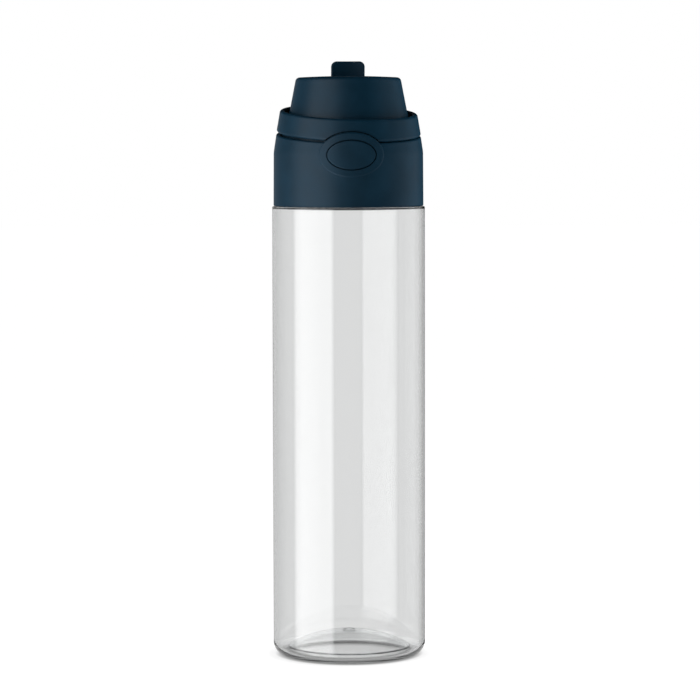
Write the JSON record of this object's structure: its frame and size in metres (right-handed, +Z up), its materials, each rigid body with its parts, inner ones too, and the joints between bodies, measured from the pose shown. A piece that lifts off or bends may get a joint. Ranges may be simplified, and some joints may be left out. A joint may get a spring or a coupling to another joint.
{
  "type": "flip-top drinking bottle",
  "caption": "Tall clear straight-walled drinking bottle with a screw-on flip-top lid, a push button at the front, a drinking spout under the cover and a carry loop at the back.",
  "frame": {"origin": "centre of the base, on the surface the bottle stands on", "axes": "+Z up along the bottle's axis, -Y towards the release button at the front, +Y towards the hinge and the carry loop, +X to the right seen from the front"},
  "size_m": [0.07, 0.07, 0.2732],
  "materials": {
    "clear_body": "clear, high gloss",
    "lid_plastic": "satin moulded polypropylene, dark navy",
    "latch_plastic": "satin acetal, grey",
    "silicone": "translucent grey silicone, matte",
    "spring_steel": "bright drawn stainless wire"
  },
  "bodies": {
    "bottle": {"bottle_body": "clear_body"},
    "gasket": {"neck_gasket": "silicone"},
    "lid": {"lid_collar": "lid_plastic", "threaded_core": "lid_plastic", "drink_spout": "lid_plastic", "spout_o_ring": "silicone", "vent_valve": "silicone", "hinge_pin": "spring_steel", "hinge_spring": "spring_steel", "button_spring": "spring_steel"},
    "button": {"release_button": "lid_plastic", "latch_slide": "latch_plastic"},
    "cover": {"cover_ring": "lid_plastic", "cover_cap": "lid_plastic", "cover_liner": "lid_plastic", "spout_plug": "silicone"},
    "carry_loop": {"carry_loop": "lid_plastic"}
  },
  "joints": [
    {"name": "lid_rise", "type": "slide", "parent": "bottle", "child": "gasket", "axis": [0, 0, 1], "range_m": [0, 0.0051]},
    {"name": "lid_turn", "type": "hinge", "parent": "gasket", "child": "lid", "pos_m": [0, 0, 0.2196], "axis": [0, 0, 1], "range_deg": [0, 450]},
    {"name": "button_press", "type": "slide", "parent": "lid", "child": "button", "axis": [0, 1, 0], "range_m": [0, 0.002], "stiffness_N_per_m": 800, "springref_m": -0.002, "deforming": ["button_spring"]},
    {"name": "cover_hinge", "type": "hinge", "parent": "lid", "child": "cover", "pos_m": [0, 0.0306, 0.2425], "axis": [-1, 0, 0], "range_deg": [0, 110]},
    {"name": "loop_hinge", "type": "hinge", "parent": "cover", "child": "carry_loop", "pos_m": [0, 0.0306, 0.2425], "axis": [-1, 0, 0], "range_deg": [0, 45]}
  ],
  "couplings": [
    {"joint": "lid_rise", "follows": "lid_turn", "m_per_rad": 0.00063662}
  ]
}
